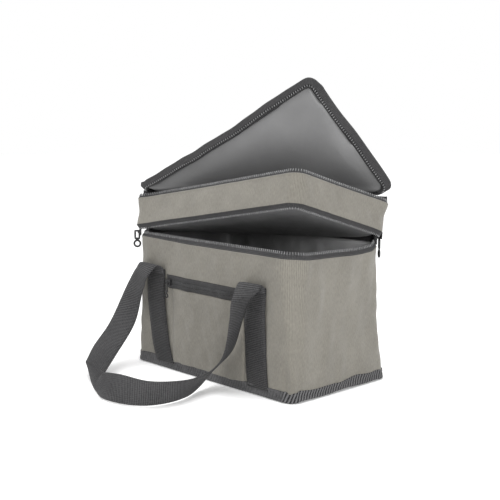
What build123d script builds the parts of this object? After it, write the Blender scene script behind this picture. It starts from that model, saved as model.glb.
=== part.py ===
from build123d import *
import os
from math import atan2, degrees, hypot, radians, tan

# Insulated cooler bag: a lower box, an upper tray hinged along the back edge and a
# padded lid hinged above that. Both are unzipped along the front and the right end,
# and their near corner is folded up about the diagonal from front left to back right.
# Origin: centre of the base on the floor. X to the right along the front, Y to the
# back, Z up. Millimetres.

LENGTH = 298.0  # outer fabric, without the 1 mm base binding
DEPTH = 174.0
CORNER = 24.0  # radius of the upright corners
SHELL = 1.5  # woven outer fabric
FOAM = 6.0
LINING = 1.5  # coated lining sheet
WALL = SHELL + FOAM + LINING
BINDING = 1.0
ZIP_BACK = 80.0  # the zips end here, just in front of the back face

FLOOR_TOP = 9.5  # top of the base pad
BINDING_TOP = 13.0
FABRIC_TOP = 170.0  # top of the lower box's fabric
LOWER_ZIP = 178.5
TRAY_FABRIC_LOW = 187.0
TRAY_FABRIC_TOP = 222.5
TRAY_TOP = 227.3
LID_LOW = 229.5
LID_TOP = 241.0

TRAY_LIFT = 19.5  # near half of the tray above its zipped place, degrees
LID_LIFT = 55.5  # near half of the lid above the crease strip, degrees
LID_EXTRA = 15.0  # the lid's near corner can be pushed this much further
CREASE = 5.0  # half the width of the soft strip on the lid's fold

STRAP = 36.0  # webbing width
STRAP_THICK = 1.8
STRAP_TOP = 136.0

GAP = 0.15  # between faces that part along the diagonal

# the diagonal of the bag, and the direction across it towards the near corner
across = hypot(LENGTH + 2 * BINDING, DEPTH + 2 * BINDING)
ALONG = ((LENGTH + 2 * BINDING) / across, (DEPTH + 2 * BINDING) / across)
NEAR = (ALONG[1], -ALONG[0])


def slab(inset, low, high):
    """A flat layer with the bag's rounded plan, set in from the outer fabric."""
    plan = RectangleRounded(LENGTH - 2 * inset, DEPTH - 2 * inset, CORNER - inset)
    return Pos(0, 0, low) * extrude(plan, high - low)


def band(outer, inner, low, high):
    """A wall that runs all the way round."""
    return slab(outer, low, high) - slab(inner, low - 1, high + 1)


def behind(y):
    return Pos(0, y + 100, 150) * Box(400, 200, 400)


def sides(solid):
    """The part of a band that follows the zip: front, both ends and the corners."""
    return solid - behind(ZIP_BACK)


def back(solid):
    return solid & behind(ZIP_BACK + 0.1)


def prism(points):
    """A long prism on the diagonal; its section is given across it and upwards."""
    plane = Plane((0, 0, 0), x_dir=(*NEAR, 0), z_dir=(-ALONG[0], -ALONG[1], 0))
    outline = make_face(Polyline(*points, close=True))
    return extrude(plane * outline, 260, both=True)


def on_fold(offset, height, direction=-1):
    """A level axis parallel to the diagonal."""
    start = (NEAR[0] * offset, NEAR[1] * offset, height)
    return Axis(start, (direction * ALONG[0], direction * ALONG[1], 0))


def wedge(offset, height, angle, side):
    """The space on one side of a plane through a level line beside the diagonal."""
    lean = tan(radians(angle))
    down, rise = 60, 80
    return prism(
        [
            (offset - down * lean, height - down),
            (offset + rise * lean, height + rise),
            (offset + side * 300, height + rise),
            (offset + side * 300, height - down),
        ]
    )


def save(name, solid):
    solid.label = name
    export_step(solid, f"parts/{name}.step")


os.makedirs("parts", exist_ok=True)

# ---- lower box ----
save("base_panel", slab(0, 0, 1.5))
save("base_foam", slab(SHELL + FOAM, 1.5, FLOOR_TOP))
save("base_binding", band(-BINDING, 0, 0.8, BINDING_TOP))
save("main_shell", band(0, SHELL, 1.5, FABRIC_TOP))
save("main_foam", band(SHELL, SHELL + FOAM, 1.5, FABRIC_TOP))
main_tub = slab(SHELL + FOAM, FLOOR_TOP, FABRIC_TOP)
save("main_lining", main_tub - slab(WALL, FLOOR_TOP + LINING, FABRIC_TOP + 1))
save("main_rim_binding", band(SHELL, WALL, FABRIC_TOP, FABRIC_TOP + 1.5))
save("main_zip_tape", sides(band(0, 1.2, FABRIC_TOP, LOWER_ZIP - 2)))
save("main_zip_teeth", sides(band(0, 2, LOWER_ZIP - 2, LOWER_ZIP - 0.4)))
save("tray_hinge_strip", back(band(0, 1.2, FABRIC_TOP, LOWER_ZIP - 0.4)))

# ---- tray between the lower box and the lid, built zipped shut ----
zip_top = LOWER_ZIP + 2
tray = {
    "underside": slab(SHELL, LOWER_ZIP + 1.5, LOWER_ZIP + 2.5),
    "floor": slab(SHELL + FOAM, LOWER_ZIP + 2.5, LOWER_ZIP + 7.5),
    "foam": band(SHELL, SHELL + FOAM, LOWER_ZIP + 2.5, TRAY_FABRIC_TOP + 1.5),
    "lining": slab(SHELL + FOAM, LOWER_ZIP + 7.5, TRAY_FABRIC_TOP + 1.5)
    - slab(WALL, LOWER_ZIP + 8.5, TRAY_TOP),
    "shell": band(0, SHELL, TRAY_FABRIC_LOW, TRAY_FABRIC_TOP),
    "low_tape": sides(band(0, 1.2, zip_top, TRAY_FABRIC_LOW)),
    "low_teeth": sides(band(0, 1.4, LOWER_ZIP + 0.5, zip_top)),
    "top_tape": sides(band(0, 1.2, TRAY_FABRIC_TOP, TRAY_TOP - 1.6)),
    "top_teeth": sides(band(0, 2, TRAY_TOP - 1.6, TRAY_TOP)),
}
far_side = wedge(-GAP, LOWER_ZIP, 0, -1)
near_side = wedge(GAP, LOWER_ZIP, TRAY_LIFT, 1)
# the back face's fabric runs on down to the hinge line
back_fabric = back(band(0, SHELL, LOWER_ZIP + 0.8, TRAY_FABRIC_LOW))
for name, solid in tray.items():
    near_half = (solid & near_side).rotate(on_fold(0, LOWER_ZIP), TRAY_LIFT)
    if name == "shell":
        solid = solid + back_fabric
    save("tray_far_" + name, solid & far_side)
    save("tray_near_" + name, near_half)
lid_hinge = back(band(0, 1.2, TRAY_FABRIC_TOP, LID_LOW - 0.3))
save("lid_hinge_strip", lid_hinge & far_side)

# ---- lid, built flat and folded up about the diagonal ----
lid = {
    "teeth": sides(band(0, 2, LID_LOW, LID_LOW + 1.6)),
    "band": band(0, SHELL, LID_LOW + 1.6, LID_TOP - 1.5),
    "lining": slab(2.2, LID_LOW + 0.2, LID_LOW + 1.6),
    "foam": slab(SHELL, LID_LOW + 1.6, LID_TOP - 1.5),
    "top": slab(0, LID_TOP - 1.5, LID_TOP),
}
lid_far_side = wedge(-CREASE - GAP, LID_LOW, -22, -1)
lid_near_side = wedge(CREASE + GAP, LID_LOW, 38, 1)
crease_at_far = on_fold(-CREASE, LID_LOW)
crease_at_near = on_fold(CREASE, LID_LOW)
for name, solid in lid.items():
    near_half = (solid & lid_near_side).rotate(crease_at_near, LID_LIFT)
    save("lid_far_" + name, solid & lid_far_side)
    save("lid_near_" + name, near_half.rotate(crease_at_far, TRAY_LIFT))
crease_section = [
    (-CREASE + 0.1, LID_LOW),
    (CREASE - 0.1, LID_LOW),
    (CREASE - 1.8, LID_LOW + 2.2),
    (-CREASE + 1, LID_LOW + 2.2),
]
crease = prism(crease_section) & slab(1, LID_LOW, LID_TOP)
save("lid_crease_strip", crease.rotate(crease_at_far, TRAY_LIFT))

# ---- front pocket ----
FACE = -DEPTH / 2
POCKET_ZIP = 118.0
POCKET_LEFT, POCKET_RIGHT = -66.0, 66.0
POCKET_TAPE_LEFT = -78.0


def plate(x_low, x_high, z_low, z_high, y_in, y_out):
    """A thin piece on the front face, y_in and y_out measured outwards from it."""
    wide, tall, thick = x_high - x_low, z_high - z_low, y_out - y_in
    middle = ((x_low + x_high) / 2, FACE - (y_in + y_out) / 2, (z_low + z_high) / 2)
    return Pos(*middle) * Box(wide, thick, tall)


save("pocket_panel", plate(POCKET_LEFT, POCKET_RIGHT, BINDING_TOP, 110, 0, 1.2))
tape_low, tape_high = POCKET_ZIP - 8, POCKET_ZIP + 8
save("pocket_zip_tape", plate(POCKET_TAPE_LEFT, 66, tape_low, tape_high, 0, 0.8))
teeth = plate(POCKET_TAPE_LEFT, 66, POCKET_ZIP - 2, POCKET_ZIP + 2, 0.8, 1.8)
save("pocket_zip_teeth", teeth)


# ---- webbing sewn up the front and the back ----
def upright(name, x_low, x_high, lean, side):
    """Webbing sewn flat on a face; its foot is moved sideways by lean."""
    wall = side * DEPTH / 2
    outline = make_face(
        Polyline(
            (x_low + lean, BINDING_TOP),
            (x_high + lean, BINDING_TOP),
            (x_high, STRAP_TOP),
            (x_low, STRAP_TOP),
            close=True,
        )
    )
    strip = extrude(Plane((0, wall, 0), x_dir=(1, 0, 0), z_dir=(0, -1, 0)) * outline, 2)
    if side > 0:
        strip = Pos(0, 2, 0) * strip
    save(name, strip)


LEFT_STRAP = -118.5
RIGHT_STRAP = 71.0
upright("front_strap_left", LEFT_STRAP, LEFT_STRAP + STRAP, 16, -1)
upright("front_strap_right", RIGHT_STRAP, RIGHT_STRAP + STRAP, -4, -1)
upright("rear_strap_left", -113, -113 + STRAP, 0, 1)
upright("rear_strap_right", 113 - STRAP, 113, 0, 1)


# ---- loose handle loops of the same webbing ----
def webbing(name, stations):
    """A flat strip through pairs of edge points, outer edge first."""
    outers = [Vector(*outer) for outer, inner in stations]
    inners = [Vector(*inner) for outer, inner in stations]
    middles = [(a + b) * 0.5 for a, b in zip(outers, inners)]
    sections = []
    for i, (a, b) in enumerate(zip(outers, inners)):
        ahead = middles[min(i + 1, len(middles) - 1)]
        before = middles[max(i - 1, 0)]
        thick = (ahead - before).cross(b - a).normalized() * (STRAP_THICK / 2)
        corners = [a + thick, b + thick, b - thick, a - thick]
        sections.append(Polyline(*corners, close=True).wires()[0])
    save(name, Solid.make_loft(sections, ruled=True))


# the front loop drops from both sewn tops, stands on its edge on the floor in front
# of the bag and turns edge-on before it climbs to the right-hand strap
webbing(
    "front_handle_loop",
    [
        ((-118.5, -90.5, 137.5), (-82.5, -90.5, 137.5)),
        ((-121, -96, 142), (-86, -97, 141)),
        ((-133, -101, 134), (-102, -101, 125)),
        ((-146, -105, 112), (-113, -99, 107)),
        ((-150, -130, 58), (-118, -113, 58)),
        ((-136, -180, 16), (-104, -170, 6)),
        ((-100, -198, 2), (-85, -184, 30)),
        ((-62, -216, 2), (-55, -207, 35)),
        ((-26, -231, 2), (-22, -226, 36)),
        ((9, -230, 2), (8, -227, 36)),
        ((39, -210, 2), (47, -217, 34)),
        ((45, -169, 2), (60, -181, 30)),
        ((29, -124, 6), (52, -142, 27)),
        ((26, -98, 22), (50, -122, 30)),
        ((52, -94, 47), (70, -124, 50)),
        ((75, -94, 95), (84, -125, 97)),
        ((88, -94, 116), (82, -124, 119)),
        ((103, -97, 135), (66, -105, 131)),
        ((106, -96, 141), (69, -97, 141)),
        ((107, -90.5, 137.5), (71, -90.5, 137.5)),
    ],
)
# the rear loop lies on the floor behind the bag, a little to the left
webbing(
    "rear_handle_loop",
    [
        ((113, 90.5, 137.5), (77, 90.5, 137.5)),
        ((112, 97, 141), (76, 97, 141)),
        ((106, 104, 128), (72, 103, 130)),
        ((88, 112, 72), (54, 108, 66)),
        ((58, 132, 6), (36, 120, 30)),
        ((28, 160, 2), (18, 150, 34)),
        ((-20, 182, 2), (-20, 170, 35)),
        ((-75, 180, 2), (-68, 168, 34)),
        ((-116, 148, 4), (-92, 134, 26)),
        ((-122, 117, 70), (-88, 110, 72)),
        ((-117, 104, 128), (-81, 103, 128)),
        ((-114, 97, 141), (-78, 97, 141)),
        ((-113, 90.5, 137.5), (-77, 90.5, 137.5)),
    ],
)


# ---- zip sliders and their pulls ----
def keyhole_pull(length, width):
    """A flat pull in the XZ plane, hung from its top bar at the origin."""
    ring = width / 2
    outline = Pos(0, -length + ring) * Circle(ring)
    outline += Pos(0, -(length - ring) / 2) * Rectangle(width * 0.62, length - ring)
    hole = Pos(0, -length + ring) * Circle(ring - 1.6)
    hole += Pos(0, -(length - 2 * ring) / 2 - 0.6) * Rectangle(3, length - 2 * ring - 3)
    plate_plane = Plane((0, 0.8, 0), x_dir=(1, 0, 0), z_dir=(0, -1, 0))
    return extrude(plate_plane * (outline - hole), 1.6)


def slider_body():
    """A small cast body that stands on the +Y side of the XZ plane, with a bridge."""
    body = Pos(0, 1.5, 0) * Box(10, 3, 9)
    bridge = Pos(0, 4, 0) * Box(2.4, 2, 8)
    return body + bridge


def at_corner(x_sign, y_sign, offset, height):
    """A place outside a rounded corner, facing away from the bag's outline."""
    nx, ny = x_sign * 0.69, y_sign * 0.724
    x = x_sign * (LENGTH / 2 - CORNER) + nx * (CORNER + offset)
    y = y_sign * (DEPTH / 2 - CORNER) + ny * (CORNER + offset)
    turn = degrees(atan2(ny, nx)) - 90
    return Pos(x, y, height) * Rot(0, 0, turn)


SLIDER_Z = LOWER_ZIP - 3
# the left pull hangs edge-on to the wall, the right one flat beside it
for name, sign, pull_offset, pull_turn in (("left", -1, 9.6, 90), ("right", 1, 6.9, 0)):
    place = at_corner(sign, sign, 0.6, SLIDER_Z)
    save("tray_slider_" + name, place * slider_body())
    hang = at_corner(sign, sign, pull_offset, SLIDER_Z - 0.6)
    save("tray_pull_" + name, hang * Rot(0, 0, pull_turn) * keyhole_pull(24, 11))

# the pocket's slider runs on its teeth, with a plain pull that hangs over the pocket
SLIDER_X = -71.0
pocket_place = Pos(SLIDER_X, FACE - 2.0, POCKET_ZIP) * Rot(0, 0, 180)
save("pocket_slider", pocket_place * slider_body())
pocket_hang = Pos(SLIDER_X, FACE - 8.2, POCKET_ZIP - 0.6)
save("pocket_pull", pocket_hang * keyhole_pull(20, 7))

# the lid's slider sits on the far half, on the left end just past the front corner
lid_place = Pos(-LENGTH / 2 - 0.4, -42, LID_LOW - 1.2) * Rot(0, 0, 90)
save("lid_slider", lid_place * slider_body())
lid_hang = Pos(-LENGTH / 2 - 6.6, -42, LID_LOW - 1.8) * Rot(0, 0, 90)
save("lid_pull", lid_hang * keyhole_pull(20, 7))
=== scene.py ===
import math

import bmesh
import bpy
import numpy as np
from mathutils import Matrix, Vector


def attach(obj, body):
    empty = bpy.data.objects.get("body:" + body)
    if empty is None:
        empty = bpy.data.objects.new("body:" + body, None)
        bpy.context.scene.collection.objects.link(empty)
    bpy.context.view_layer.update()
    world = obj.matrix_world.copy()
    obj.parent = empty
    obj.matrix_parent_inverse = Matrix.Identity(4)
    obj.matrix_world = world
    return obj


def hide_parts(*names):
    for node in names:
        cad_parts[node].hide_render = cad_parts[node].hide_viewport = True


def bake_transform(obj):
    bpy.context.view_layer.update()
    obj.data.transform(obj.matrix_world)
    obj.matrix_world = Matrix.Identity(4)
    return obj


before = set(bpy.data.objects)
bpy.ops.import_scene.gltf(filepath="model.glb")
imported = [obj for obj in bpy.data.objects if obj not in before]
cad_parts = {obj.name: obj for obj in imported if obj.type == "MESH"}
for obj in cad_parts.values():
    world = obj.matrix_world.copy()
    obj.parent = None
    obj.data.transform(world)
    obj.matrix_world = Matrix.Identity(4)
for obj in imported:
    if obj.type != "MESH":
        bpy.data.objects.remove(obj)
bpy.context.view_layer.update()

# Shapes are worked out in millimetres in the row frame and written in metres.
MM = 0.001
HALF_X, HALF_Y = 149.0, 87.0  # outer fabric
CORNER = 24.0  # middle value of its corner radius, seen from above
STRAP = 36.0  # webbing width
STRAP_DRAWN = 35.6  # the sewn straps, a little narrower than the handles
LOWER_ZIP, LID_LOW = 178.5, 229.5  # heights
TRAY_LIFT, LID_LIFT = 19.5, 55.5  # degrees
CREASE = 5.0  # half the width of the lid's crease strip
TRAY_BEND, LID_BEND = 30.0, 12.0  # half the width over which each folds
ALONG = np.array([300.0, 176.0]) / math.hypot(300, 176)
NEAR = np.array([ALONG[1], -ALONG[0]])
ZIP_ENDS = (-2.5, 3.5)  # the zips run round the front and both ends


# ---------------------------------------------------------------- camera and stage
SENSOR = 36.0
FOCAL_PER_WIDTH = 960.23 / 500.0
CAMERA_TURN, CAMERA_DIP = 46.51, 8.10  # degrees about Z and below level
CAMERA_PLACE = (0.8973, -0.8638, 0.3360)
FLOOR_HALF = 6.0


def make_camera():
    data = bpy.data.cameras.new("camera")
    data.sensor_width = SENSOR
    data.lens = SENSOR * FOCAL_PER_WIDTH
    data.clip_start, data.clip_end = 0.05, 20.0
    cam = bpy.data.objects.new("camera", data)
    bpy.context.scene.collection.objects.link(cam)
    turn, dip = math.radians(CAMERA_TURN), math.radians(CAMERA_DIP)
    ahead = Vector(
        (-math.sin(turn) * math.cos(dip), math.cos(turn) * math.cos(dip), -math.sin(dip))
    )
    across = Vector((math.cos(turn), math.sin(turn), 0))
    axes = Matrix((across, across.cross(ahead), -ahead)).transposed()
    cam.matrix_world = Matrix.Translation(CAMERA_PLACE) @ axes.to_4x4()
    bpy.context.scene.camera = cam


def area_light(name, place, aim, size, power):
    data = bpy.data.lights.new(name, "AREA")
    data.shape = "DISK"
    data.size, data.energy = size, power
    lamp = bpy.data.objects.new(name, data)
    bpy.context.scene.collection.objects.link(lamp)
    lamp.location = place
    lamp.rotation_euler = (Vector(aim) - Vector(place)).to_track_quat("-Z", "Y").to_euler()


def make_stage():
    world = bpy.data.worlds.new("studio")
    bpy.context.scene.world = world
    world.use_nodes = True
    back = world.node_tree.nodes["Background"]
    back.inputs["Color"].default_value = (1, 1, 1, 1)
    back.inputs["Strength"].default_value = 1.0
    area_light("overhead", (0.15, -0.30, 1.9), (0, 0, 0.1), 1.4, 20)
    area_light("front_low", (1.5, -0.85, 0.52), (0, 0, 0.18), 0.5, 9)
    bpy.context.scene.view_settings.view_transform = "Standard"
    mesh = bpy.data.meshes.new("floor")
    corners = [(x * FLOOR_HALF, y * FLOOR_HALF, 0) for x, y in ((-1, -1), (1, -1), (1, 1), (-1, 1))]
    mesh.from_pydata(corners, [], [(0, 1, 2, 3)])
    floor = bpy.data.objects.new("floor", mesh)
    bpy.context.scene.collection.objects.link(floor)
    tone = bpy.data.materials.new("floor_white")
    tone.use_nodes = True
    shader = tone.node_tree.nodes["Principled BSDF"]
    shader.inputs["Base Color"].default_value = (0.97, 0.97, 0.97, 1)
    shader.inputs["Roughness"].default_value = 0.9
    shader.inputs["Emission Color"].default_value = (1, 1, 1, 1)
    shader.inputs["Emission Strength"].default_value = 0.14
    mesh.materials.append(tone)


# ---------------------------------------------------------------- materials
class Nodes:
    """Short names for building one procedural material."""

    def __init__(self, name):
        self.mat = bpy.data.materials.new(name)
        self.mat.use_nodes = True
        self.tree = self.mat.node_tree
        self.shader = self.tree.nodes["Principled BSDF"]

    def add(self, kind, **values):
        node = self.tree.nodes.new(kind)
        for key, value in values.items():
            setattr(node, key, value)
        return node

    def link(self, source, target):
        self.tree.links.new(source, target)

    def math(self, operation, first, second=None):
        node = self.add("ShaderNodeMath", operation=operation)
        for slot_index, value in enumerate((first, second)):
            if value is None:
                continue
            if isinstance(value, (int, float)):
                node.inputs[slot_index].default_value = value
            else:
                self.link(value, node.inputs[slot_index])
        return node.outputs[0]

    def coords(self, kind):
        return self.add("ShaderNodeTexCoord").outputs[kind]

    def noise(self, coords, scale, detail, stretch=None):
        if stretch:
            mapping = self.add("ShaderNodeMapping")
            mapping.inputs["Scale"].default_value = stretch
            self.link(coords, mapping.inputs["Vector"])
            coords = mapping.outputs[0]
        node = self.add("ShaderNodeTexNoise")
        node.inputs["Scale"].default_value = scale
        node.inputs["Detail"].default_value = detail
        self.link(coords, node.inputs["Vector"])
        return node.outputs["Fac"]

    def ramp(self, fac, low, high, start=0.3, end=0.7):
        node = self.add("ShaderNodeValToRGB")
        node.color_ramp.elements[0].position = start
        node.color_ramp.elements[1].position = end
        node.color_ramp.elements[0].color = (*low, 1)
        node.color_ramp.elements[1].color = (*high, 1)
        self.link(fac, node.inputs[0])
        return node.outputs[0]

    def fade(self, axis, start, end, low, high):
        """A number that goes from low to high along one axis of the object."""
        split = self.add("ShaderNodeSeparateXYZ")
        self.link(self.coords("Object"), split.inputs[0])
        node = self.add("ShaderNodeMapRange", interpolation_type="SMOOTHSTEP")
        self.link(split.outputs[axis], node.inputs["Value"])
        limits = {"From Min": start, "From Max": end, "To Min": low, "To Max": high}
        for key, value in limits.items():
            node.inputs[key].default_value = value
        return node.outputs[0]

    def bump(self, height, strength, distance):
        node = self.add("ShaderNodeBump")
        node.inputs["Strength"].default_value = strength
        node.inputs["Distance"].default_value = distance
        self.link(height, node.inputs["Height"])
        self.link(node.outputs[0], self.shader.inputs["Normal"])

    def set(self, **values):
        for key, value in values.items():
            self.shader.inputs[key.replace("_", " ")].default_value = value


def threads(n, coords, pitch_u, pitch_v, kind):
    """Height of a woven surface from coordinates in metres."""
    split = n.add("ShaderNodeSeparateXYZ")
    n.link(coords, split.inputs[0])
    u = n.math("SINE", n.math("MULTIPLY", split.outputs[0], 2 * math.pi / pitch_u))
    v = n.math("SINE", n.math("MULTIPLY", split.outputs[1], 2 * math.pi / pitch_v))
    strength = (0.25, 0.75) if kind == "rib" else (0.7, 0.3)
    return n.math("ADD", n.math("MULTIPLY", u, strength[0]), n.math("MULTIPLY", v, strength[1]))


def fabric_material(name, dark, light, pitch, kind="plain", bump=0.5, show=0.14, sheen=0.04):
    """Woven or ribbed cloth: pitch is its thread spacing, show how much the weave tints it."""
    n = Nodes(name)
    uv = n.coords("UV")
    weave = threads(n, uv, pitch[0], pitch[1], kind)
    if kind == "end rib":  # slanted ribs, strong on the right end and faint elsewhere
        split = n.add("ShaderNodeSeparateXYZ")
        n.link(uv, split.inputs[0])
        slant = n.math("ADD", split.outputs[0], n.math("MULTIPLY", split.outputs[1], 0.45))
        ribs = n.math("SINE", n.math("MULTIPLY", slant, 2 * math.pi / pitch[0]))
        weave = n.math("MULTIPLY", ribs, n.fade("X", 0.128, 0.150, 0.08, 1.0))
    mottle = n.noise(n.coords("Object"), 26, 5)
    fleck = n.noise(uv, 900, 2, (1, 0.25, 1))
    tone = n.math("ADD", n.math("MULTIPLY", mottle, 0.3), n.math("MULTIPLY", fleck, 0.45))
    tone = n.math("ADD", tone, 0.08)
    tone = n.math("ADD", tone, n.math("MULTIPLY", weave, show))
    n.link(n.ramp(tone, dark, light, 0.28, 0.62), n.shader.inputs["Base Color"])
    n.set(Roughness=0.85, Specular_IOR_Level=0.25, Sheen_Weight=sheen, Sheen_Roughness=0.5)
    n.bump(weave, bump, 0.0004)
    return n.mat


def lining_material(name, dark, light, rough, fade=None):
    """Satin coated sheet, gently wavy; fade scales its colour along one axis, painting light and
    shade into it.
    """
    n = Nodes(name)
    place = n.coords("Object")
    colour = n.ramp(n.noise(place, 9, 4), dark, light)
    # painted light and shade: the colour is scaled from one end of the sheet to the other along one
    # axis
    if fade:
        scaled = n.add("ShaderNodeVectorMath", operation="SCALE")
        n.link(colour, scaled.inputs[0])
        n.link(n.fade(*fade), scaled.inputs["Scale"])
        colour = scaled.outputs[0]
    n.link(colour, n.shader.inputs["Base Color"])
    n.set(Specular_IOR_Level=0.45, Coat_Weight=0.15, Coat_Roughness=0.4)
    spread = n.ramp(n.noise(place, 30, 3), (rough - 0.06,) * 3, (rough + 0.08,) * 3)
    n.link(spread, n.shader.inputs["Roughness"])
    wave = n.math("ADD", n.noise(place, 35, 4), n.math("MULTIPLY", n.noise(place, 160, 2), 0.2))
    n.bump(wave, 0.4, 0.0018)
    return n.mat


def plain_material(name, dark, light, rough, metal=0.0, grain=400):
    n = Nodes(name)
    place = n.coords("Object")
    n.link(n.ramp(n.noise(place, grain, 3), dark, light), n.shader.inputs["Base Color"])
    n.set(Roughness=rough, Metallic=metal)
    n.bump(n.noise(place, grain * 2, 2), 0.1, 0.0002)
    return n.mat


TAUPE = fabric_material(
    "taupe_polyester", (0.128, 0.120, 0.103), (0.219, 0.207, 0.178), (0.0018, 0.0014), sheen=0.2
)
TAPE = fabric_material(
    "dark_tape", (0.018, 0.018, 0.019), (0.050, 0.049, 0.050), (0.0019, 0.0016), bump=0.6
)
RIBBED = fabric_material(
    "ribbed_binding", (0.012, 0.012, 0.013), (0.125, 0.124, 0.127), (0.0046, 0.006), "end rib",
    bump=0.8, show=0.42,
)
WEBBING = fabric_material(
    "dark_webbing", (0.020, 0.020, 0.021), (0.078, 0.077, 0.079), (0.0024, 0.0022), "rib", 0.7,
    show=0.22,
)
# Painted shade: a darker copy of the handle webbing, for the straps that sit in shade under the
# handle loops.
SHADED_STRAP_WEBBING = fabric_material(
    "strap_webbing_painted_shade", (0.013, 0.013, 0.014), (0.054, 0.053, 0.054), (0.0024, 0.0022), "rib", 0.7,
    show=0.22,
)
LINING = lining_material("grey_lining", (0.105, 0.105, 0.106), (0.170, 0.170, 0.171), 0.40)
# Painted shade: the lid lining is darkened to 0.55 of its colour towards its low edge (Z below
# 0.255 m), rising to full colour towards the top.
SHADED_LID_LINING = lining_material(
    "lid_lining_painted_shade", (0.118, 0.118, 0.119), (0.190, 0.190, 0.191), 0.40, ("Z", 0.255, 0.320, 0.55, 1.0)
)
# Painted light: the box's inner lining is lightened up to 3.2 times towards +X, brighter on the
# right where light falls into the box.
LIT_INNER_LINING = lining_material(
    "inner_lining_painted_light", (0.095, 0.095, 0.096), (0.170, 0.170, 0.171), 0.42, ("X", -0.12, 0.12, 1.0, 3.2)
)
DARK_LINING = lining_material("dark_lining", (0.062, 0.062, 0.063), (0.112, 0.112, 0.113), 0.42)
FOAM = plain_material("foam", (0.70, 0.70, 0.69), (0.82, 0.82, 0.80), 0.9, grain=500)
TEETH = plain_material("nylon_teeth", (0.10, 0.10, 0.102), (0.26, 0.26, 0.263), 0.25)
DARK_TEETH = plain_material("dark_teeth", (0.02, 0.02, 0.021), (0.05, 0.05, 0.051), 0.35)
BLACK = plain_material("black_metal", (0.006, 0.006, 0.007), (0.016, 0.016, 0.017), 0.4, 0.2)
THREAD = plain_material("dark_thread", (0.07, 0.07, 0.07), (0.12, 0.12, 0.12), 0.8)


# ---------------------------------------------------------------- shape helpers
def smooth(x):
    """0 to 1 along an S-shaped curve."""
    x = np.clip(x, 0, 1)
    return x * x * (3 - 2 * x)


def ring(u, half_x, half_y, radii):
    """Places and outward normals round a rounded rectangle. u counts 0 front, 1 near corner,
    2 right end, 3 back right corner, 4 back, 5 far corner, 6 left end, 7 front left corner.
    radii is one corner radius, or four in that order."""
    u = np.mod(u, 8)
    k = np.minimum(np.floor(u).astype(int), 7)
    f = u - k
    q = k // 2
    straight = k % 2 == 0
    angle = np.radians(-90 + 90 * q + np.where(straight, 0, 90 * f))
    normal = np.stack([np.cos(angle), np.sin(angle)], -1)
    four = radii if isinstance(radii, tuple) else (radii,) * 4
    table = np.stack([np.broadcast_to(np.asarray(r, float), u.shape) for r in four])
    ends = []
    for corner in (q, (q - 1) % 4):
        r = np.take_along_axis(table, corner[None], 0)[0]
        x_sign, y_sign = np.array([1, 1, -1, -1])[corner], np.array([-1, 1, 1, -1])[corner]
        ends.append((half_x - r) * x_sign + r * normal[..., 0])
        ends.append((half_y - r) * y_sign + r * normal[..., 1])
    share = np.where(straight, f, 1.0)
    x = ends[2] + (ends[0] - ends[2]) * share
    y = ends[3] + (ends[1] - ends[3]) * share
    return x, y, normal


def near_u(u, middle, half):
    """1 at a place of the ring, falling smoothly to 0 within half of it."""
    gap = np.abs(np.mod(u - middle + 4, 8) - 4)
    return smooth(1 - gap / half)


def ripple(p, seed, count=9, shortest=22.0, longest=80.0, stretch=(1, 1, 1)):
    """Smooth, repeatable unevenness: a sum of sine waves of seeded directions."""
    rng = np.random.default_rng(seed)
    total = np.zeros(p.shape[:-1])
    for _ in range(count):
        way = rng.normal(size=3) * np.array(stretch)
        way /= np.linalg.norm(way)
        length = shortest * (longest / shortest) ** rng.random()
        total += np.sin(p @ way * 2 * math.pi / length + rng.random() * 6.283)
    return total / math.sqrt(count)


def across(p):
    """How far a place is from the diagonal, towards the near corner."""
    return p[..., 0] * NEAR[0] + p[..., 1] * NEAR[1]


def along(p):
    """How far a place is along the diagonal, towards the back right corner."""
    return p[..., 0] * ALONG[0] + p[..., 1] * ALONG[1]


def fold(p, offset, height, angle, half):
    """Bends points about a level line beside the diagonal, spread over 2 * half."""
    s, h = across(p) - offset, p[..., 2] - height
    a = math.radians(angle) * smooth((s / half + 1) / 2)
    s2, h2 = s * np.cos(a) - h * np.sin(a), s * np.sin(a) + h * np.cos(a)
    out = p.copy()
    out[..., 0] += NEAR[0] * (s2 - s)
    out[..., 1] += NEAR[1] * (s2 - s)
    out[..., 2] = height + h2
    return out


SEGMENT_COUNTS = (64, 12, 38, 12, 64, 12, 38, 12)
FULL = np.concatenate([k + np.arange(n) / n for k, n in enumerate(SEGMENT_COUNTS)])


def zip_range():
    """The ring places that a zip covers, front and both ends."""
    low, high = ZIP_ENDS
    spots = np.concatenate([FULL - 8, FULL])
    inner = spots[(spots > low) & (spots < high)]
    return np.concatenate([[low], inner, [high]])


ZIP_RUN = zip_range()
BACK_RUN = np.linspace(ZIP_ENDS[1], 8 + ZIP_ENDS[0], 90)  # the back, where there is no zip


def rim_height(u):
    """How far the lower box's top edge wanders up or down."""
    spots = [0, 0.35, 1.0, 1.6, 2.1, 2.45, 2.65, 2.83, 3.0, 3.35, 4, 5, 6, 7, 7.6, 8]
    rise = [2.6, 0.3, 0.2, -0.8, -2.8, -3.9, -5.0, -5.2, -3.6, 0.8, 2, 1, 1, 1.5, 2.6, 2.6]
    return np.interp(np.mod(u, 8), spots, rise)


def right_end(u):
    """1 at the middle of the right end, falling to 0 round both its corners."""
    return np.clip(1 - np.abs(np.mod(u, 8) - 2.45) / 0.95, 0, 1) ** 0.8


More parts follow.
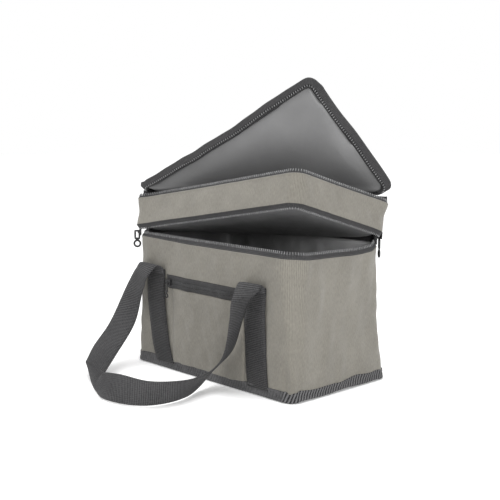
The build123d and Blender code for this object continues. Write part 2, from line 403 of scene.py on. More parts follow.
def lower(u, z, out):
    """The soft lower box."""
    up = np.clip(z / LOWER_ZIP, 0, 1)
    radius = 15 + 12 * smooth(up)
    x, y, normal = ring(u, HALF_X, HALF_Y, radius)
    p = np.stack([x, y, z + 0 * x], -1)
    belly = np.sin(math.pi * up)
    straight = np.sin(math.pi * (np.mod(u, 1))) * (np.floor(np.mod(u, 8)) % 2 == 0)
    give = 0.9 * straight * belly + 1.2 * right_end(u) * np.exp(-(((z - 22) / 26) ** 2))
    hold = smooth(z / 16) * smooth((LOWER_ZIP - z) / 20)
    give = give + hold * (
        0.7 * ripple(p, 3, stretch=(1, 1, 0.5)) + 0.5 * ripple(p, 8, 7, 14, 30, (1, 1, 0.3))
    )
    # soft upright folds beside the near corner and a shallow dent along the front's top
    near_corner = np.exp(-(((np.mod(u, 8) - 1.5) / 0.9) ** 2))
    give = give + hold * near_corner * 1.5 * np.sin(np.mod(u, 8) * 9.0 + z / 50)
    give = give - 1.1 * (np.mod(u, 8) < 1) * straight * np.exp(-(((z - 150) / 16) ** 2))
    # the back right corner is drawn in above the base
    give = give - 5.5 * near_u(u, 3.35, 1.3) * smooth((z - 8) / 75)
    p[..., 0] += normal[..., 0] * (out + give)
    p[..., 1] += normal[..., 1] * (out + give)
    rim = rim_height(u)
    share = smooth((z - 90) / 80) * np.where(rim < 0, 1, 1 - 0.8 * smooth((z - 170) / 8))
    p[..., 2] += rim * share
    wave = right_end(u) * (1.6 + 0.8 * np.sin(np.mod(u, 8) * 13))
    p[..., 2] += wave * np.exp(-((z / 14) ** 2))
    seam = 1.3 * np.sin(np.mod(u, 8) * 7.0 + 1.0) + 0.8 * np.sin(np.mod(u, 8) * 17.0)
    p[..., 2] += seam * np.exp(-(((z - 13) / 9) ** 2))
    return p


def tray_flat(u, z, out):
    """The tray as it is when zipped shut."""
    x, y, normal = ring(u, HALF_X, HALF_Y, (17.0, 22.0, 26.0, 20.0))
    p = np.stack([x, y, z + 0 * x], -1)
    middle = np.exp(-(((z - 205) / 12) ** 2))
    give = 0.5 * ripple(p, 21, stretch=(1, 1, 0.8))
    give = give + 0.4 * (1 + near_u(u, 1.7, 0.9)) * ripple(p, 22, 7, 12, 26, (1, 1, 0.4))
    give = give * (0.25 + 0.75 * middle) + 0.6 * middle * np.sin(math.pi * np.mod(u, 1))
    flare = 5.5 * near_u(u, 7.5, 1.0) + 5.5 * near_u(u, 3.4, 1.1) * smooth((z - 205) / 18)
    give = give + flare - 2.2 * middle * near_u(u, 7.5, 0.8)
    p[..., 0] += normal[..., 0] * (out + give)
    p[..., 1] += normal[..., 1] * (out + give)
    return p


def tray_fold(p):
    """Folds the flat tray up at its near corner."""
    return fold(p, 0.0, LOWER_ZIP, TRAY_LIFT, TRAY_BEND)


def tray(u, z, out):
    """The tray as it stands, folded."""
    return tray_fold(tray_flat(u, z, out))


def lid_flat(u, z, out):
    """The lid before it is folded."""
    x, y, normal = ring(u, HALF_X, HALF_Y, (14.0, 20.0, 26.0, 22.0))
    p = np.stack([x, y, z + 0 * x], -1)
    give = 0.45 * ripple(p, 31, 9, 30, 110) + 4.0 * near_u(u, 3.2, 1.0)
    give = give + 2.0 * near_u(u, 1.5, 0.8) + 4.5 * near_u(u, 0.4, 0.9) + 2.5 * near_u(u, 0, 0.35)
    # its free corner is drawn to a point and its right edge out past the tray
    turn = np.mod(u, 8)
    give = give + 6.5 * smooth((turn - 0.52) / 0.38) * smooth((1.7 - turn) / 0.6)
    give = give + 4.8 * smooth((turn - 2.0) / 0.5) * smooth((3.5 - turn) / 0.5)
    p[..., 0] += normal[..., 0] * (out + give)
    p[..., 1] += normal[..., 1] * (out + give)
    return p


def lid_fold(p):
    """Folds the flat lid up at its near corner; its back right corner is pulled up a little."""
    t, s = along(p), across(p)
    pulled = p.copy()
    pulled[..., 2] += 6.0 * smooth((t - 90) / 75) * smooth((s + 30) / 36)
    bow = smooth((s - 20) / 100)
    pulled[..., 2] += bow * 2.0 * np.sin(t / 42) + 3.5 * smooth((-t - 95) / 70)
    folded = fold(pulled, CREASE, LID_LOW, LID_LIFT, LID_BEND)
    return fold(folded, -CREASE, LID_LOW, TRAY_LIFT, LID_BEND)


def drawn_in(p, u, push):
    """Moves places inwards, square to the wall, by push."""
    normal = ring(u, HALF_X, HALF_Y, 20.0)[2]
    p[..., 0] -= normal[..., 0] * push
    p[..., 1] -= normal[..., 1] * push
    return p


def new_object(name, mesh, *materials):
    obj = bpy.data.objects.new(name, mesh)
    bpy.context.scene.collection.objects.link(obj)
    for material in materials:
        mesh.materials.append(material)
    for polygon in mesh.polygons:
        polygon.use_smooth = True
    return obj


def clean(mesh):
    """Turns every face outwards."""
    bm = bmesh.new()
    bm.from_mesh(mesh)
    bmesh.ops.recalc_face_normals(bm, faces=bm.faces)
    bm.to_mesh(mesh)
    bm.free()


def weld(mesh, close_ends):
    """Joins a sheet's meeting edges into a solid, and closes its open ends."""
    bm = bmesh.new()
    bm.from_mesh(mesh)
    bmesh.ops.remove_doubles(bm, verts=bm.verts, dist=1e-6)
    if close_ends:
        edges = [e for e in bm.edges if e.is_boundary]
        bmesh.ops.holes_fill(bm, edges=edges, sides=0)
    bmesh.ops.recalc_face_normals(bm, faces=bm.faces)
    bm.to_mesh(mesh)
    bm.free()


def applied(obj):
    """Writes the object's modifiers into its mesh."""
    view = bpy.context.evaluated_depsgraph_get()
    mesh = bpy.data.meshes.new_from_object(obj.evaluated_get(view))
    obj.modifiers.clear()
    obj.data = mesh


def grid(name, points, material, wrap, uv=None, caps=False, thick=0.0):
    """A sheet through a rows-by-columns grid of places; with thick it gets two faces."""
    rows, cols = points.shape[:2]
    verts = points.reshape(-1, 3) * MM
    if uv is None:
        step_u = np.linalg.norm(np.diff(points[rows // 2], axis=0), axis=-1)
        step_v = np.linalg.norm(np.diff(points[:, cols // 3], axis=0), axis=-1)
        run_u = np.concatenate([[0], np.cumsum(step_u)])
        run_v = np.concatenate([[0], np.cumsum(step_v)])
        uv = np.stack(np.meshgrid(run_u, run_v), -1)
    flat_uv = uv.reshape(-1, 2) * MM
    faces, corner_uv = [], []
    last = cols if wrap else cols - 1
    closing = flat_uv[1, 0] - flat_uv[0, 0]
    for i in range(rows - 1):
        for j in range(last):
            k = (j + 1) % cols
            quad = (i * cols + j, i * cols + k, (i + 1) * cols + k, (i + 1) * cols + j)
            faces.append(quad)
            cell = flat_uv[list(quad)].copy()
            if k == 0:
                cell[1, 0] = cell[0, 0] + closing
                cell[2, 0] = cell[3, 0] + closing
            corner_uv.append(cell)
    if caps:
        faces.append(tuple(range((rows - 1) * cols, rows * cols)))
        corner_uv.append(flat_uv[(rows - 1) * cols :])
    mesh = bpy.data.meshes.new(name)
    mesh.from_pydata(verts.tolist(), [], faces)
    layer = mesh.uv_layers.new(name="weave")
    layer.data.foreach_set("uv", np.concatenate(corner_uv).ravel().astype(np.float32))
    obj = new_object(name, mesh, material)
    if thick:
        solid = obj.modifiers.new("thick", "SOLIDIFY")
        solid.thickness, solid.offset = thick * MM, -1.0  # inwards
        applied(obj)
    clean(obj.data)
    return obj


def tube(name, place, us, profile, material, wrap):
    """A closed profile, given as (outwards, height), swept along the ring."""
    outs = np.array([o for o, _ in profile] + [profile[0][0]])
    heights = np.array([h for _, h in profile] + [profile[0][1]])
    rows = [place(us, np.full(len(us), h), np.full(len(us), o)) for o, h in zip(outs, heights)]
    obj = grid(name, np.array(rows), material, wrap)
    weld(obj.data, close_ends=not wrap)
    return obj


def wall(name, place, us, profile, material, wrap, thick):
    """A sheet through an open profile, given as (outwards, height)."""
    rows = [place(us, np.full(len(us), h), np.full(len(us), o)) for o, h in profile]
    return grid(name, np.array(rows), material, wrap, thick=thick)


def spaced(start, end, count):
    """Profile points on a straight run."""
    return [tuple(np.array(start) + (np.array(end) - start) * t) for t in np.linspace(0, 1, count)]


def panel(name, place, z, out, material, crown=0.0, rings=22, thick=1.0, seed=0, rough=0.0):
    """A level panel that fills the ring; rings shrink to its middle."""
    edge = place(FULL, np.full(len(FULL), z), np.full(len(FULL), out))
    ridge = np.array([1.0, 0.0, 0.0]) * (HALF_X - HALF_Y)
    rows = []
    for k in np.linspace(1, 0, rings, endpoint=False):
        spine = np.clip(edge[:, :1] / HALF_X, -1, 1) * ridge
        row = edge * k + spine * (1 - k)
        row[:, 2] = edge[:, 2] * k + (1 - k) * z + crown * smooth((1 - k) * 2.2)
        if rough:
            row[:, 2] += rough * ripple(row, seed, 8, 25, 90) * smooth((1 - k) * 3)
        rows.append(row)
    points = np.array(rows)
    return grid(name, points, material, True, uv=points[..., :2].copy(), caps=True, thick=thick)


def stack_instances(name, template, faces, places, axes, material):
    """Many copies of one small shape: places (n, 3) and axes (n, 3, 3), rows are its X, Y, Z."""
    count, size = len(places), len(template)
    verts = np.einsum("vk,nkc->nvc", template, axes) + places[:, None, :]
    faces = np.array(faces, dtype=object)
    all_faces = [tuple(np.array(f) + i * size) for i in range(count) for f in faces]
    mesh = bpy.data.meshes.new(name)
    mesh.from_pydata((verts.reshape(-1, 3) * MM).tolist(), [], all_faces)
    obj = new_object(name, mesh, material)
    clean(mesh)
    return obj


def bar_template(length, wide, tall, sides=6):
    """A rounded bar along X, pinched at both ends."""
    verts, faces = [], []
    stations = [(-0.5, 0.45), (-0.4, 0.95), (0.1, 1.0), (0.42, 0.9), (0.5, 0.5)]
    for t, k in stations:
        for i in range(sides):
            a = 2 * math.pi * i / sides
            verts.append((t * length, math.cos(a) * wide / 2 * k, math.sin(a) * tall / 2 * k))
    for r in range(len(stations) - 1):
        for i in range(sides):
            j = (i + 1) % sides
            faces.append((r * sides + i, r * sides + j, (r + 1) * sides + j, (r + 1) * sides + i))
    faces.append(tuple(range(sides)))
    faces.append(tuple(range((len(stations) - 1) * sides, len(stations) * sides)))
    return np.array(verts), faces


def run_places(place, us, profile_point, lean, pitch):
    """Evenly spaced places along the ring with their across, along and face directions."""
    out, z = profile_point
    fine = 4000
    dense = np.interp(np.linspace(0, 1, fine), np.linspace(0, 1, len(us)), us)
    line = place(dense, np.full(fine, z), np.full(fine, out))
    run = np.concatenate([[0], np.cumsum(np.linalg.norm(np.diff(line, axis=0), axis=-1))])
    count = int(run[-1] / pitch)
    at = np.interp((np.arange(count) + 0.5) * pitch, run, dense)
    spot = place(at, np.full(count, z), np.full(count, out))
    beyond = place(at, np.full(count, z + lean[1]), np.full(count, out + lean[0]))
    ahead = place(at + 0.004, np.full(count, z), np.full(count, out)) - spot
    x = beyond - spot
    x /= np.linalg.norm(x, axis=-1, keepdims=True)
    y = ahead - (ahead * x).sum(-1, keepdims=True) * x
    y /= np.linalg.norm(y, axis=-1, keepdims=True)
    return spot, np.stack([x, y, np.cross(x, y)], 1)


def coil(name, place, profile_point, lean):
    """The teeth of one zip rail."""
    template, faces = bar_template(3.9, 1.05, 1.5)
    spots, axes = run_places(place, ZIP_RUN, profile_point, lean, pitch=3.3)
    return stack_instances(name, template, faces, spots, axes, TEETH)


def stitches(name, place, profile_point, us):
    """A row of stitches that lie along the ring."""
    template, faces = bar_template(2.2, 0.45, 0.4, 5)
    spots, axes = run_places(place, us, profile_point, (0, 1), pitch=3.2)
    turned = axes[:, [1, 0, 2]] * np.array([1, 1, -1])[None, :, None]
    return stack_instances(name, template, faces, spots, turned, THREAD)


# ---------------------------------------------------------------- cloth
VOXEL, PRESSURE, CLOTH_FRAMES = 5.0, 4.0, 20


def puff(obj, limit):
    """Voxel remesh, cloth under pressure with its movement capped at limit, one subdivision."""
    remesh = obj.modifiers.new("remesh", "REMESH")
    remesh.mode, remesh.voxel_size = "VOXEL", VOXEL * MM
    applied(obj)
    start = np.array([v.co for v in obj.data.vertices])
    cloth = obj.modifiers.new("cloth", "CLOTH")
    cloth.settings.quality = 5
    cloth.settings.use_pressure = True
    cloth.settings.uniform_pressure_force = PRESSURE
    cloth.settings.effector_weights.gravity = 0
    cloth.collision_settings.use_collision = False
    cloth.point_cache.frame_start, cloth.point_cache.frame_end = 1, CLOTH_FRAMES
    scene = bpy.context.scene
    for moment in range(1, CLOTH_FRAMES + 1):
        scene.frame_set(moment)
    view = bpy.context.evaluated_depsgraph_get()
    moved = obj.evaluated_get(view).data
    end = np.array([v.co for v in moved.vertices])
    shift = end - start
    far = np.linalg.norm(shift, axis=1, keepdims=True)
    end = start + shift * np.minimum(1, limit * MM / np.maximum(far, 1e-9))
    obj.modifiers.clear()
    obj.data.vertices.foreach_set("co", end.ravel())
    scene.frame_set(1)
    relax = obj.modifiers.new("relax", "SMOOTH")
    relax.factor, relax.iterations = 0.5, 4
    subdivide = obj.modifiers.new("subdivide", "SUBSURF")
    subdivide.levels = subdivide.render_levels = 1
    applied(obj)
    for polygon in obj.data.polygons:
        polygon.use_smooth = True


def reshape(obj, change):
    """Moves every vertex through a function of places in millimetres."""
    mesh = obj.data
    co = np.empty(len(mesh.vertices) * 3)
    mesh.vertices.foreach_get("co", co)
    mesh.vertices.foreach_set("co", (change(co.reshape(-1, 3) / MM) * MM).ravel())
    mesh.update()


# ---------------------------------------------------------------- riding
def spot(offset, height):
    """A place in metres, offset mm past the diagonal."""
    return (NEAR[0] * offset * MM, NEAR[1] * offset * MM, height * MM)


def on_tray(obj, slot_name, *parts):
    """A piece that crosses the tray's fold; parts are named without tray_far_ or tray_near_."""
    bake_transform(obj)
    if parts:
        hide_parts(*[f"tray_{side}_{part}" for part in parts for side in ("far", "near")])


def half(obj, name, side):
    """The far (-1) or near (1) half of a piece of the flat lid, closed along the cut."""
    copy = new_object(name, obj.data.copy())
    bm = bmesh.new()
    bm.from_mesh(copy.data)
    cut = bmesh.ops.bisect_plane(
        bm,
        geom=bm.verts[:] + bm.edges[:] + bm.faces[:],
        plane_co=(0, 0, 0),
        plane_no=(NEAR[0] * side, NEAR[1] * side, 0),
        clear_inner=True,
    )
    edges = [e for e in cut["geom_cut"] if isinstance(e, bmesh.types.BMEdge)]
    bmesh.ops.holes_fill(bm, edges=edges, sides=0)
    bmesh.ops.recalc_face_normals(bm, faces=bm.faces)
    bm.to_mesh(copy.data)
    bm.free()
    return copy


def on_lid(obj, name, slot_name, *parts, padded=None):
    """Cuts a flat lid piece at the diagonal and folds its halves. parts are named
    without lid_far_ or lid_near_."""
    for side, end in ((-1, "far"), (1, "near")):
        piece = half(obj, f"{name}_{end}", side)
        reshape(piece, lid_fold)
        if side < 0:
            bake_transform(piece)
        else:
            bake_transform(piece)
        if parts:
            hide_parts(*[f"lid_{end}_{part}" for part in parts])
    bpy.data.objects.remove(obj)


def rides(obj, body, slot_name, *nodes):
    """A piece on one body."""
    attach(obj, body)
    if nodes:
        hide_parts(*nodes)


# ---------------------------------------------------------------- lower box
def build_lower_box():
    shell = wall(
        "lower_shell", lower, FULL,
        [(-0.6, 2.5)] + spaced((0, 4), (0, 166), 56) + [(0.5, 168.5), (0.7, 169.6), (0.2, 170.3)],
        TAUPE, True, 1.2,
    )
    rides(shell, "lower_box", "outer_fabric", "main_shell")
    padding = tube(
        "lower_padding", lower, FULL,
        spaced((-2.2, 3), (-2.2, 167), 24) + spaced((-5.6, 167), (-5.6, 3), 24), FOAM, True,
    )
    rides(padding, "lower_box", "foam", "main_foam")

    def lining_place(u, z, out):
        p = lower(u, z, out)
        depth = smooth((170 - z) / 40)
        push = depth * np.maximum(2.0 * ripple(p, 41, 9, 14, 55, (1, 1, 0.35)), -2.0)
        return drawn_in(p, u, push)

    lining = wall(
        "lower_lining", lining_place, FULL,
        [(-2.2, 172.5), (-4, 173), (-6.5, 172.5), (-8.2, 171)]
        + spaced((-8.6, 168), (-8.6, 13), 46),
        LIT_INNER_LINING, True, 0.8,
    )
    rides(lining, "lower_box", "lining", "main_lining", "main_rim_binding")
    bed = panel("lower_lining_base", lower, 12.0, -8.6, LIT_INNER_LINING, 0.5, rough=0.8, seed=5)
    rides(bed, "lower_box", "lining")
    pad = panel("base_pad", lower, 6.0, -4.0, FOAM, rings=8, thick=3.5)
    rides(pad, "lower_box", "foam", "base_foam")
    under = panel("base_fabric", lower, 1.4, -0.8, TAPE, rings=16, thick=1.2)
    rides(under, "lower_box", "dark_tape", "base_panel")

    # folded tape over the base seam, with a raised lower edge
    band = tube(
        "base_welt", lower, FULL,
        [
            (0.3, 13.2), (0.9, 12.9), (1.2, 12), (1.0, 9), (1.0, 6), (1.5, 4.6), (1.9, 3),
            (1.6, 1.4), (0.6, 0.9), (-0.6, 1.2), (-0.6, 12.6),
        ],
        RIBBED, True,
    )
    rides(band, "lower_box", "dark_tape", "base_binding")
    for height in (11.4, 6.0):
        row = stitches(f"base_stitches_{int(height)}", lower, (1.35, height), np.append(FULL, 8))
        rides(row, "lower_box", "dark_tape")

    tape = wall(
        "lower_zip_tape", lower, ZIP_RUN,
        [(-0.5, 167.5), (-0.1, 169.5), (-0.2, 171)] + spaced((-0.6, 172.5), (-3.0, 176.2), 4),
        TAPE, False, 0.7,
    )
    rides(tape, "lower_box", "dark_tape", "main_zip_tape")
    teeth = coil("lower_zip_teeth", lower, (-2.7, 177.0), (-0.4, 0.92))
    rides(teeth, "lower_box", "zip_teeth", "main_zip_teeth")
    row = stitches("lower_tape_stitches", lower, (-0.1, 171.4), ZIP_RUN)
    rides(row, "lower_box", "dark_tape")
    # behind the closed stretch of zip at the left end
    left_us = np.linspace(5.4, 7.95, 60)
    backing = wall(
        "tray_end_tape", lower, left_us, spaced((-4.4, 171), (-5.0, 184.0), 6), TAPE, False, 0.8
    )
    rides(backing, "lower_box", "dark_tape")
    strip = wall(
        "tray_hinge_tape", lower, BACK_RUN, spaced((-0.1, 168), (-1.4, 182.5), 8), TAPE, False, 0.8
    )
    rides(strip, "lower_box", "dark_tape", "tray_hinge_strip")


# ---------------------------------------------------------------- tray
def build_tray():
    shell = wall(
        "tray_shell", tray, FULL,
        [(-0.4, 186.2), (0.3, 186.6)]
        + spaced((0.2, 187.6), (0, 221), 16)
        + [(0.5, 222.2), (0, 223)],
        TAUPE, True, 1.2,
    )
    on_tray(shell, "outer_fabric", "shell")
    padding = tube(
        "tray_padding", tray, FULL,
        spaced((-2.2, 188), (-2.2, 221), 10) + spaced((-5.6, 221), (-5.6, 188), 10), FOAM, True,
    )
    on_tray(padding, "foam", "foam")

    def lining_place(u, z, out):
        p = tray_flat(u, z, out)
        push = np.maximum(1.2 * ripple(p, 51, 9, 18, 60, (1, 1, 0.4)), -1.5)
        return tray_fold(drawn_in(p, u, push * smooth((223 - z) / 20)))

    lining = wall(
        "tray_lining", lining_place, FULL,
        [(-1.6, 223.6), (-4, 224.8), (-6.5, 224.4), (-8, 222.5)]
        + spaced((-8.3, 220), (-8.3, 189), 14),
        LINING, True, 0.8,
    )
    on_tray(lining, "lining", "lining")

    # the padded floor between tray and lower box, simulated flat and then folded
    pad = panel("tray_floor_pad", tray_flat, 187.0, -7.0, DARK_LINING, rings=20, thick=5.0)
    puff(pad, 3.0)
    reshape(pad, tray_fold)
    on_tray(pad, "lining", "floor", "underside")

    # the underside's sewn edge closes the space between the padded floor and the walls
    edge = wall(
        "tray_floor_edge", tray, FULL,
        [(-0.9, 186.5), (-4, 186.6), (-8, 186.2), (-12, 185.4), (-16, 184.8)],
        DARK_LINING, True, 0.8,
    )
    on_tray(edge, "lining")

    low_tape = wall(
        "tray_low_tape", tray, ZIP_RUN,
        [(-0.6, 188), (-0.9, 186.4)] + spaced((-1.2, 185.6), (-3.4, 182.4), 5), TAPE, False, 0.7,
    )
    on_tray(low_tape, "dark_tape", "low_tape")
    low_teeth = coil("tray_low_teeth", tray, (-3.5, 182.0), (-0.5, -0.87))
    on_tray(low_teeth, "zip_teeth", "low_teeth")
    piping = tube(
        "tray_low_piping", tray, FULL,
        [(0.5, 186.8), (0.9, 186.2), (0.5, 185.6), (-0.3, 185.4), (-0.8, 186.2), (-0.3, 187)],
        TAPE, True,
    )
    on_tray(piping, "dark_tape")
    top_tape = wall(
        "tray_top_tape", tray, ZIP_RUN,
        [(-0.6, 221), (-0.1, 222.8)] + spaced((-0.3, 223.6), (-2.2, 226.2), 4), TAPE, False, 0.7,
    )
    on_tray(top_tape, "dark_tape", "top_tape")
    top_teeth = coil("tray_top_teeth", tray, (-2.2, 227.0), (-0.4, 0.92))
    on_tray(top_teeth, "zip_teeth", "top_teeth")
    low_back = wall(
        "tray_back_low", tray, BACK_RUN, spaced((-0.2, 187.5), (-0.2, 179.0), 5), TAPE, False, 0.8
    )
    on_tray(low_back, "dark_tape")
    high_back = wall(
        "lid_hinge_tape", tray, BACK_RUN, spaced((-0.2, 221.5), (-1.2, 233), 7), TAPE, False, 0.8
    )
    on_tray(high_back, "dark_tape")
    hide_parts("lid_hinge_strip")
    # the closed zip at the left end stands up inside the lid's rim
    left_us = np.linspace(5.3, 7.9, 60)
    gusset = wall(
        "lid_end_tape", tray, left_us, spaced((-6.8, 221), (-7.0, 233.6), 6), TAPE, False, 0.8
    )
    on_tray(gusset, "dark_tape")


# ---------------------------------------------------------------- lid
def build_lid():
    pad_top = 238.3
    # the lid pad's lining carries painted shade towards its low edge
    pad = panel("lid_pad", lid_flat, 238.2, -5.0, SHADED_LID_LINING, rings=20, thick=5.5)
    puff(pad, 2.6)
    reshape(pad, lambda p: np.stack([p[:, 0], p[:, 1], np.minimum(p[:, 2], pad_top)], -1))
    on_lid(pad, "lid_pad", "lining", "lining", "foam", padded=0.7)
    top = panel("lid_top", lid_flat, 239.6, -1.2, TAUPE, 1.6, thick=1.0, rough=0.5, seed=9)
    on_lid(top, "lid_top", "outer_fabric", "top")
    binding = tube(
        "lid_binding", lid_flat, FULL,
        [
            (-3.5, 240.9), (-1.5, 241.3), (0.3, 241.0), (1.3, 240), (1.2, 238.4), (0.4, 237.2),
            (-1.2, 237.0), (-3.5, 238.5),
        ],
        TAPE, True,
    )
    on_lid(binding, "lid_binding", "dark_tape")
    band = wall(
        "lid_band", lid_flat, FULL,
        [(0.4, 238.2), (0.6, 237)] + spaced((0.3, 236.2), (-5.8, 230.9), 7), TAPE, True, 0.8,
    )
    on_lid(band, "lid_band", "dark_tape", "band")

    def lip_place(u, z, out):
        """The lip hangs low at the back and the left end, and is short at the open sides."""
        p = lid_flat(u, z, out)
        open_side = near_u(u, 1.4, 3.2)
        p[..., 2] += 2.0 * open_side**0.5 * smooth((231.6 - z) / 2)
        return p

    strip = wall(
        "lid_inner_strip", lip_place, FULL,
        [
            (-3.0, 236.2), (-6.2, 233.0), (-7.2, 229.0), (-7.7, 228.8), (-8.4, 231.6),
            (-10.4, 234.6), (-16, 237.2),
        ],
        TAPE, True, 0.6,
    )
    on_lid(strip, "lid_inner_strip", "dark_tape")
    teeth = coil("lid_teeth", lid_flat, (-6.2, 230.5), (-0.75, -0.65))
    on_lid(teeth, "lid_teeth", "zip_teeth", "teeth")
    # the soft strip that the pad bends along, sewn inside it
    half_long, half_wide = 148, 3.4
    t, s = np.meshgrid(
        np.linspace(-half_long, half_long, 60), np.linspace(-half_wide, half_wide, 7)
    )
    height = 234.6 + 0.5 * np.cos(s / half_wide * 1.5) + 0.2 * np.sin(t / 17)
    flat = np.stack([ALONG[0] * t + NEAR[0] * s, ALONG[1] * t + NEAR[1] * s, height], -1)
    crease = grid("lid_crease_lining", lid_fold(flat), LINING, False, thick=1.2)
    rides(crease, "lid_crease", "lining", "lid_crease_strip")


# ---------------------------------------------------------------- webbing
RIB, WEBBING_THICK = 2.2, 1.9


def webbing(name, stations, material=WEBBING):
    """Ribbed webbing through pairs of edge places in millimetres, outer edge first."""
    pairs = np.array(stations, float)
    middle = pairs.mean(1)
    run = np.concatenate([[0], np.cumsum(np.linalg.norm(np.diff(middle, axis=0), axis=-1))])
    fine = np.linspace(0, run[-1], int(run[-1] / 0.5))
    edges = [spline(run, pairs[:, k], fine) for k in (0, 1)]
    width = edges[1] - edges[0]
    centre = (edges[0] + edges[1]) / 2
    ahead = np.gradient(centre, axis=0)
    normal = np.cross(ahead, width)
    normal /= np.linalg.norm(normal, axis=-1, keepdims=True)
    bump = 0.2 * np.sin(fine * 2 * math.pi / RIB)
    across_at = np.linspace(-1, 1, 7)
    rows = []
    for side in (1, -1):
        for t in across_at * side:
            taper = 1 - 0.55 * abs(t) ** 8
            lift = (WEBBING_THICK / 2 * taper + bump * (1 - abs(t) ** 6)) * side
            rows.append(centre + width * (0.5 * t) + normal * lift[:, None])
    rows.append(rows[0])
    points = np.array(rows)
    across_uv = np.concatenate([across_at, across_at, across_at[:1]]) * STRAP / 2
    uv = np.stack(np.meshgrid(fine, across_uv), -1)[..., ::-1]
    obj = grid(name, points, material, False, uv=uv)
    weld(obj.data, close_ends=True)
    return obj


def spline(run, values, fine):
    """Catmull-Rom through values at run, read at fine."""
    slope = np.gradient(values, run, axis=0)
    k = np.clip(np.searchsorted(run, fine, side="right") - 1, 0, len(run) - 2)
    step = (run[k + 1] - run[k])[:, None]
    t = ((fine - run[k]) / step[:, 0])[:, None]
    h00, h10 = 2 * t**3 - 3 * t**2 + 1, t**3 - 2 * t**2 + t
    h01, h11 = -2 * t**3 + 3 * t**2, t**3 - t**2
    return (
        h00 * values[k] + h10 * step * slope[k] + h01 * values[k + 1] + h11 * step * slope[k + 1]
    )


def handle_rides(obj, body):
    """Bakes the handle's place into its mesh and hides the model's loop."""
    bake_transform(obj)
    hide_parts(body + "_loop")


def build_webbing():
    front = webbing(
        "front_handle",
        [
            ((-118.5, -90.4, 128), (-82.5, -90.4, 128)),
            ((-118.8, -91.5, 135.5), (-83, -91.5, 135.5)),
            ((-121, -96.5, 139.3), (-85.5, -97, 138.3)),
            ((-128, -101, 131), (-100, -103, 123.5)),
            ((-144, -101, 112), (-109.5, -103, 107.5)),
            ((-150, -130, 58), (-118, -113, 58)),
            ((-140, -165, 31), (-106, -153, 24)),
            ((-125, -185.2, 20.4), (-88.4, -181.2, 11.7)),
            ((-123, -188, 19), (-86, -185, 10)),
            ((-118.4, -190, 17), (-82.4, -187.5, 11.2)),
            ((-85, -205, 2), (-56, -206, 20)),
            ((-50, -222, 2), (-31, -223, 30)),
            ((-20, -233, 2), (-10, -230, 35)),
            ((9, -230, 2), (8, -227, 36)),
            ((39, -210, 2), (47, -217, 34)),
            ((45, -169, 2), (60, -181, 30)),
            ((29, -124, 6), (52, -142, 27)),
            ((26, -98, 22), (50, -122, 30)),
            ((52, -94, 47), (70, -124, 50)),
            ((75, -94, 95), (84, -125, 97)),
            ((87, -93, 119), (89, -126, 122)),
            ((103, -97, 130.0), (73, -106, 129.5)),
            ((107, -95.5, 137.0), (71, -97, 137.0)),
            ((107, -91.5, 134), (71, -91.5, 134)),
            ((107, -90.4, 127), (71, -90.4, 127)),
        ],
    )
    handle_rides(front, "front_handle")
    rear = webbing(
        "rear_handle",
        [
            ((113, 90.4, 130), (77, 90.4, 130)),
            ((113, 91.5, 138), (77, 91.5, 138)),
            ((112, 97, 141), (76, 97, 141)),
            ((106, 104, 128), (72, 103, 130)),
            ((88, 112, 72), (54, 108, 66)),
            ((58, 132, 6), (36, 120, 30)),
            ((28, 160, 2), (18, 150, 34)),
            ((-20, 182, 2), (-20, 170, 35)),
            ((-75, 180, 2), (-68, 168, 34)),
            ((-116, 148, 4), (-92, 134, 26)),
            ((-122, 117, 70), (-88, 110, 72)),
            ((-117, 104, 128), (-81, 103, 128)),
            ((-114, 97, 141), (-78, 97, 141)),
            ((-113, 91.5, 138), (-77, 91.5, 138)),
            ((-113, 90.4, 130), (-77, 90.4, 130)),
        ],
    )
    handle_rides(rear, "rear_handle")
    low, high = 9, 133.0
    for name, middle, foot, side in (
        ("front_strap_left", -100.5, 17, -1),
        ("front_strap_right", 89.0, 5, -1),
        ("rear_strap_left", -95.0, 1, 1),
        ("rear_strap_right", 95.0, -1, 1),
    ):
        stations = []
        for t in np.linspace(0, 1, 16):
            z, x = low + (high - low) * t, middle + foot * (1 - t) ** 2.6
            y = side * (88.6 + 0.9 * math.sin(t * math.pi) + 0.5 * math.sin(t * 11))
            stations.append(((x - STRAP_DRAWN / 2, y, z), (x + STRAP_DRAWN / 2, y, z)))
        # the straps take the darker webbing copy, painted shade
        strap = webbing(name + "_webbing", stations, SHADED_STRAP_WEBBING)
        rides(strap, "lower_box", "webbing", name)


# ---------------------------------------------------------------- pocket
def front_face(x, z, out):
    """Places on the soft front face."""
    straight = HALF_X - CORNER
    u = np.clip((x + straight) / (2 * straight), 0.001, 0.999)
    p = lower(u, z, out)
    p[..., 0] = x
    return p


def face_sheet(name, x_low, x_high, z_low, z_high, out, material, thick, counts):
    """A patch of sheet on the front face, with its edges pressed down."""
    xs, zs = np.linspace(x_low, x_high, counts[0]), np.linspace(z_low, z_high, counts[1])
    x, z = np.meshgrid(xs, zs)
    edge = np.minimum.reduce([x - x_low, x_high - x, z - z_low, z_high - z])
    points = front_face(x, z, out * (0.25 + 0.75 * smooth(edge / 2.5)))
    return grid(name, points, material, False, thick=thick)


